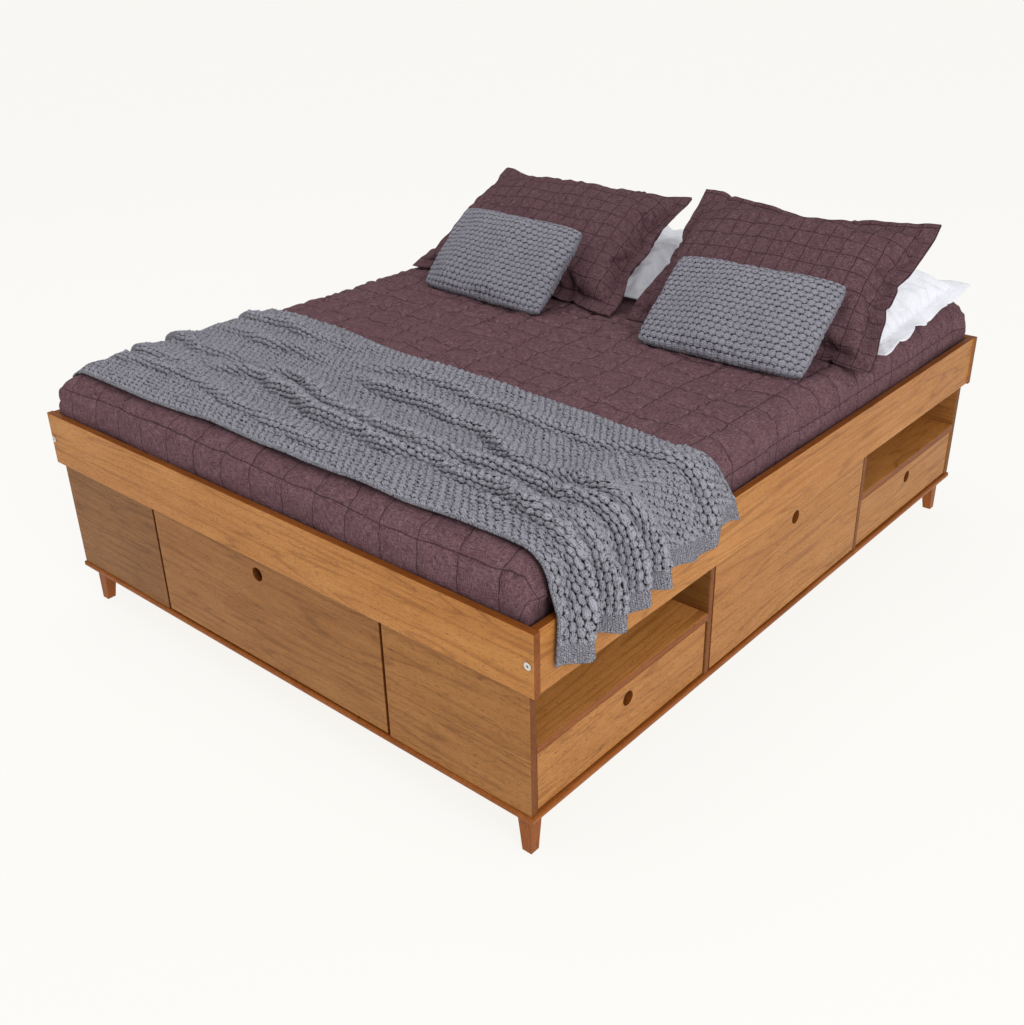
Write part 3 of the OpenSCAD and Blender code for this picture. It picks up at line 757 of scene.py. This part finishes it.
def settle(grid, place, turn, lean, floor, twist=0):
    """Turns a lying grid up to its lean, sets its front edge at place and lays what is below floor on it."""
    lean = math.radians(lean)
    x, y, z = np.moveaxis(grid, -1, 0)
    y, z = y * math.cos(lean) - z * math.sin(lean), y * math.sin(lean) + z * math.cos(lean) + floor
    below = np.maximum(floor - z, 0)
    y = y - below * (1 - math.cos(lean)) / max(math.sin(lean), 0.05)
    z = np.maximum(z, floor - 0.05 * below)
    turn = np.radians(turn + twist * (z - floor) / 0.30)
    along, across = x * np.cos(turn) - y * np.sin(turn), x * np.sin(turn) + y * np.cos(turn)
    return np.stack([place[0] + along, place[1] + across, z], -1)


def round_corner(grid, half, corner, radius):
    """Draws one corner of a lying grid in to a radius. corner holds the signs of its x and y."""
    past = [np.maximum(sign * grid[..., k] - (half[k] - radius), 0) for k, sign in enumerate(corner)]
    far = np.hypot(*past)
    pull = np.where(far > radius, 1 - radius / np.maximum(far, 1e-9), 0)
    for k, sign in enumerate(corner):
        grid[..., k] -= sign * past[k] * pull


def add_sham(side, place, turn, lean, twist, splay, size, tucked, seed):
    """Plum sham with a flange, leaning on a white pillow. tucked is the radius of its left top corner."""
    flange = 0.034
    inner = (size[0] - 2 * flange, size[1] - 2 * flange)
    upper, lower, flat = filled(inner, step=0.0112, puff=0.046, pressure=2.2, frames=15, limit=0.05, times=2)
    x, y = flat[..., 0], flat[..., 1]
    relief = 0.0026 * undulation(x, y, 0.16, seed) + 0.0014 * undulation(x, y, 0.055, seed + 1)
    edge = np.minimum(inner[0] / 2 - abs(x), inner[1] / 2 - abs(y))
    pulls = undulation(x, y, 0.034, seed + 2) * np.exp(-edge / 0.035) * ease(edge, 0, 0.012)
    upper[..., 2] += relief + 0.0026 * pulls
    upper, lower, flat, _ = with_flange(upper, lower, flat, flange, rows=6, wave=0.005, seed=seed + 3)
    for grid in (upper, lower):
        round_corner(grid, (size[0] / 2, size[1] / 2), (-1, 1), tucked)
        grid[..., 0] *= 1 - splay * 2 * flat[..., 1] / size[1]
        grid[..., 1] += inner[1] / 2 + 0.012
    floor = QUILT_TOP + 0.004
    upper = settle(upper, place, turn, lean, floor + 0.003, twist)
    lower = settle(lower, place, turn, lean, floor, twist)
    sham = add_closed_sheet("sham_cover_" + side, upper, lower, flat)
    finish_piece(sham, windowpane_linen(), "plum_linen", "sham_" + side)


def add_pillow(side, x, y, seed):
    """White pillow lying flat on the quilt behind the sham."""
    flange = 0.033
    inner = (0.672, 0.470)
    upper, lower, flat = filled(inner, step=0.0112, puff=0.048, pressure=1.8, frames=14, limit=0.035, times=2)
    u, v = flat[..., 0], flat[..., 1]
    edge = np.minimum(inner[0] / 2 - abs(u), inner[1] / 2 - abs(v))
    creases = undulation(u, v, 0.12, seed) + 0.6 * undulation(u, v, 0.05, seed + 1)
    pulls = undulation(u, v, 0.045, seed + 2) * np.exp(-edge / 0.05) * ease(edge, 0, 0.01)
    upper[..., 2] += 0.004 * creases * ease(edge, 0, 0.05) + 0.003 * pulls
    upper, lower, flat, away = with_flange(upper, lower, flat, flange, rows=6, wave=0.004, seed=seed + 3)
    floor = QUILT_TOP + 0.002
    for grid, low in ((upper, floor + 0.004), (lower, floor)):
        rise = np.clip(flat[..., 1] / (inner[1] + 2 * flange) + 0.5, 0, 1)
        grid[..., 2] += floor + 0.018 + 0.056 * rise**3 - 0.008 * away
        grid[..., 2] = np.maximum(grid[..., 2], low)
        grid[..., 0] += x
        grid[..., 1] += y
    pillow = add_closed_sheet("pillow_cover_" + side, upper, lower, flat)
    finish_piece(pillow, cotton(), "white_cotton", "pillow_" + side)


def add_cushion(side, x, y, turn, lean, seed):
    """Knitted cushion leaning on the sham."""
    size = (0.494, 0.286)
    upper, lower, flat = filled(size, step=0.0105, puff=0.036, pressure=1.2, frames=13, limit=0.024, times=4,
                                pinch=(0.000, -0.010), round_off=0.007)
    across, along = flat[..., 0] + size[0] / 2, flat[..., 1] + size[1] / 2
    edge = np.minimum(np.minimum(across, size[0] - across), np.minimum(along, size[1] - along))
    chunky = ease(edge, 0.001, 0.006)
    lumps = np.sqrt(np.clip(1 - stitch_distance(across, along, CUSHION_LUMP), 0, 1))
    relief = (0.0040 * lumps * (0.3 + 0.7 * chunky))[..., None]
    upper, lower = upper + normals_of(upper) * relief, lower - normals_of(lower) * relief
    sag = 0.004 * undulation(flat[..., 0], flat[..., 1], 0.22, seed) * ease(edge, 0, 0.05)
    upper[..., 2] += 0.0012 + sag
    lower[..., 2] -= 0.0012
    for grid in (upper, lower):
        grid[..., 1] += size[1] / 2
    floor = QUILT_TOP + 0.004
    upper = settle(upper, (x, y), turn, lean, floor + 0.003)
    lower = settle(lower, (x, y), turn, lean, floor)
    cushion = add_closed_sheet("knit_cushion_" + side, upper, lower, np.stack([across, along], -1), chunky)
    yarn = knit("cushion_knit", (0.235, 0.231, 0.270), CUSHION_LUMP, 0.0040, 0.90)
    finish_piece(cushion, yarn, "grey_knit", "cushion_" + side)


# ---------------------------------------------------------------- cloth materials

# Dark, middle and light tones of the cloths, and the colours of the lines on them
PLUM = ((0.070, 0.032, 0.038), (0.138, 0.072, 0.084), (0.225, 0.135, 0.154))
WHITE = ((0.76, 0.77, 0.82), (0.82, 0.83, 0.88), (0.87, 0.88, 0.92))
CREAM = ((0.60, 0.57, 0.50), (0.72, 0.69, 0.62), (0.80, 0.78, 0.72))
SEAM_COLOUR, CHECK_COLOUR, STRIPE_COLOUR = (0.050, 0.026, 0.031), (0.036, 0.018, 0.023), (0.42, 0.42, 0.44)
# Cloth materials made so far, for the pieces that share one
MADE = {}


def linen_base(shade, place, tones):
    """Colour and bump of slubby plain-weave linen at cloth coordinates in metres."""
    warp = shade.noise(shade.vector("MULTIPLY", place, (1.0, 0.12, 1.0)), 520.0, 2.0, 0.75)
    weft = shade.noise(shade.vector("MULTIPLY", place, (0.12, 1.0, 1.0)), 500.0, 2.0, 0.75)
    weave = shade.math("ADD", shade.math("MULTIPLY", warp, 0.5), shade.math("MULTIPLY", weft, 0.5))
    worn = shade.noise(place, 26.0, 4.0, 0.6)
    blend = shade.math("ADD", shade.math("MULTIPLY", weave, 0.88), shade.math("MULTIPLY", worn, 0.12))
    colour = shade.ramp(shade.range(blend, 0.39, 0.61), (0.0, tones[0]), (0.5, tones[1]), (1.0, tones[2]))
    return colour, weave


def cloth_place(shade):
    """Flat cloth coordinates in metres."""
    return shade.node("ShaderNodeUVMap", uv_map="cloth").outputs["UV"]


def wavering(shade, place, scale, detail):
    """Three channels of noise, for moving places about."""
    made = shade.node("ShaderNodeTexNoise", {"Vector": place, "Scale": scale, "Detail": detail})
    return made.outputs["Color"]


def line_grid(shade, place, pitch, width):
    """1 on thin lines at every multiple of pitch in both directions, 0 elsewhere."""
    parts = shade.node("ShaderNodeSeparateXYZ", {"Vector": place})
    lines = []
    for socket, step in zip(parts.outputs, pitch):
        positive = shade.math("ADD", socket, 50 * step)
        off = shade.math("PINGPONG", positive, step / 2)
        lines.append(shade.range(off, width, width * 0.35))
    return shade.math("MAXIMUM", *lines)


def cloth_finish(shade, colour, height, distance, sheen, roughness=0.95):
    """Feeds a cloth's colour and bump to its shader, and returns the material."""
    shade.feed(shade.surface.inputs["Base Color"], colour)
    shade.surface.inputs["Roughness"].default_value = roughness
    shade.surface.inputs["Specular IOR Level"].default_value = 0.06
    shade.surface.inputs["Sheen Weight"].default_value = sheen
    shade.surface.inputs["Sheen Roughness"].default_value = 0.55
    shade.feed(shade.surface.inputs["Normal"], shade.bump(height, distance, 0.8))
    return shade.material


def quilted_linen():
    """Plum linen with the quilt's stitched lines."""
    shade = Shade("quilted_linen")
    place = cloth_place(shade)
    colour, weave = linen_base(shade, place, PLUM)
    seam = line_grid(shade, place, CELL, 0.0022)
    gaps = shade.range(shade.noise(place, 210.0, 1.0), 0.36, 0.52, 0.35, 0.9)
    colour = shade.mix(shade.math("MULTIPLY", seam, gaps), colour, SEAM_COLOUR)
    height = shade.math("SUBTRACT", weave, shade.math("MULTIPLY", seam, 1.2))
    return cloth_finish(shade, colour, height, 0.0009, 0.0)


def windowpane_linen():
    """Plum linen with thin dark check lines that waver a little."""
    if "windowpane" not in MADE:
        shade = Shade("windowpane_linen")
        place = cloth_place(shade)
        colour, weave = linen_base(shade, place, tuple(scaled(tone, 0.84) for tone in PLUM))
        wander = shade.vector("MULTIPLY", wavering(shade, place, 18.0, 1.0), (0.004, 0.004, 0.0))
        check = line_grid(shade, shade.vector("ADD", place, wander), (0.047, 0.046), 0.0019)
        gaps = shade.range(shade.noise(place, 240.0, 1.0), 0.34, 0.52, 0.45, 0.95)
        colour = shade.mix(shade.math("MULTIPLY", check, gaps), colour, CHECK_COLOUR)
        MADE["windowpane"] = cloth_finish(shade, colour, weave, 0.0008, 0.0)
    return MADE["windowpane"]


def cotton():
    """White cotton percale with faint ironing creases and a faint painted glow."""
    if "cotton" not in MADE:
        shade = Shade("white_percale")
        place = cloth_place(shade)
        colour, weave = linen_base(shade, place, WHITE)
        crease = shade.noise(shade.vector("MULTIPLY", place, (1.0, 0.4, 1.0)), 34.0, 4.0, 0.6, 1.5)
        height = shade.math("ADD", shade.math("MULTIPLY", weave, 0.05), crease)
        # Painted light: the cotton glows a little, so that the pillow between the shams stays bright in their
        # shade
        shade.surface.inputs["Emission Color"].default_value = (0.84, 0.88, 1.0, 1)
        shade.surface.inputs["Emission Strength"].default_value = 0.07
        MADE["cotton"] = cloth_finish(shade, colour, height, 0.006, 0.1, 0.85)
    return MADE["cotton"]


def ticking():
    """Cream mattress ticking with thin grey stripes."""
    shade = Shade("mattress_ticking")
    place = cloth_place(shade)
    colour, weave = linen_base(shade, place, CREAM)
    stripe_pitch, never = 0.012, 90.0
    stripe = line_grid(shade, place, (stripe_pitch, never), 0.0014)
    colour = shade.mix(shade.math("MULTIPLY", stripe, 0.5), colour, STRIPE_COLOUR)
    return cloth_finish(shade, colour, weave, 0.0008, 0.1)


def stitch_field(shade, place, stitch):
    """stitch_distance as nodes, and the coordinate that a lump's strands are counted along."""
    parts = shade.node("ShaderNodeSeparateXYZ", {"Vector": place}).outputs
    up = shade.math("DIVIDE", parts[1], stitch.size[1])
    row = shade.math("FLOOR", up)
    within = shade.math("ABSOLUTE", shade.math("SUBTRACT", shade.math("SUBTRACT", up, row), 0.5))
    turn = shade.math("MULTIPLY_ADD", row, stitch.shift, shade.math("DIVIDE", parts[0], stitch.size[0]))
    off = shade.math("ABSOLUTE", shade.math("SUBTRACT", shade.math("FRACT", turn), 0.5))
    wide = shade.math("POWER", shade.math("DIVIDE", off, LUMP_REACH[0]), 2.0)
    tall = shade.math("POWER", shade.math("DIVIDE", within, LUMP_REACH[1]), 2.0)
    return shade.math("ADD", wide, tall), parts[stitch.counted]


def knit(name, colour, stitch, strand, depth):
    """Cotton yarn in lumps of strands and fine moss stitch elsewhere. Shade is painted on it: the holes
    between the lumps and small gaps in the yarn are painted near black, and strands and stitches are painted
    lighter in their middle. strand is the width of one strand, and depth how dark the painted shade in the
    holes and gaps is."""
    if name not in MADE:
        shade = Shade(name)
        place = cloth_place(shade)
        drift = shade.vector("SUBTRACT", wavering(shade, place, 130.0, 2.0), (0.5, 0.5, 0.5))
        place = shade.vector("ADD", place, shade.vector("MULTIPLY", drift, (0.007, 0.007, 0.0)))
        chunky = shade.node("ShaderNodeAttribute", attribute_name="chunky").outputs["Fac"]
        speckle = shade.noise(place, 330.0, 2.0, 0.6)
        fuzz = shade.noise(place, 900.0, 3.0, 0.7)
        speckled = shade.math("MULTIPLY", speckle, 0.45)

        far, across = stitch_field(shade, place, stitch)
        # Painted light and shade: strands lighter in their middle and darker at their sides, and lumps
        # lighter in their middle
        strands = shade.math("PINGPONG", shade.math("DIVIDE", across, strand), 0.5)
        strands = shade.math("SQRT", shade.math("MULTIPLY", strands, 2.0))
        lump = shade.math("ADD", shade.math("MULTIPLY", strands, 0.42), shade.range(far, 1.1, 0.2, 0.0, 0.40))
        lump = shade.math("MULTIPLY", shade.math("ADD", lump, speckled), chunky)
        # Painted light and shade on the moss stitch too: lighter in the middle of its bumps, darker between
        # them
        moss = stitch_field(shade, place, MOSS)[0]
        plain = shade.math("ADD", shade.range(moss, 1.3, 0.0, 0.1, 0.62), speckled)
        plain = shade.math("MULTIPLY", plain, shade.math("SUBTRACT", 1.0, chunky))
        light = shade.range(shade.math("ADD", lump, plain), 0.30, 0.90)
        tint = shade.ramp(light, (0.0, scaled(colour, 0.12)), (0.5, colour), (1.0, scaled(colour, 1.5)))

        # Painted shade: near black in the holes between lumps and in small gaps in the yarn
        hole = shade.math("MULTIPLY", shade.range(far, *stitch.gap), chunky)
        shade_spots = shade.math("MULTIPLY", shade.range(speckle, 0.43, 0.36), 0.75)
        dark = shade.math("MAXIMUM", hole, shade_spots)
        tint = shade.mix(shade.math("MULTIPLY", dark, depth), tint, scaled(colour, 0.04))
        height = shade.math("ADD", shade.math("MULTIPLY", strands, 1.3), shade.math("MULTIPLY", fuzz, 0.35))
        height = shade.math("SUBTRACT", height, shade.math("MULTIPLY", dark, 1.2))
        MADE[name] = cloth_finish(shade, tint, height, 0.0018, 0.03)
    return MADE[name]


# ---------------------------------------------------------------- the scene

add_camera()
add_studio()
paint_frame()
add_mattress()
add_quilt()
add_throw()
add_sham("right", place=(0.480, 0.261), turn=1, lean=41, twist=-3, splay=0.015, size=(0.750, 0.478),
         tucked=0.014, seed=101)
add_sham("left", place=(-0.345, 0.258), turn=-3, lean=28, twist=4.5, splay=0.065, size=(0.812, 0.545),
         tucked=0.050, seed=111)
add_pillow("right", x=0.468, y=0.655, seed=121)
add_pillow("left", x=-0.300, y=0.655, seed=131)
add_cushion("right", x=0.499, y=0.100, turn=1, lean=40, seed=141)
add_cushion("left", x=-0.334, y=0.118, turn=-3.5, lean=45, seed=151)
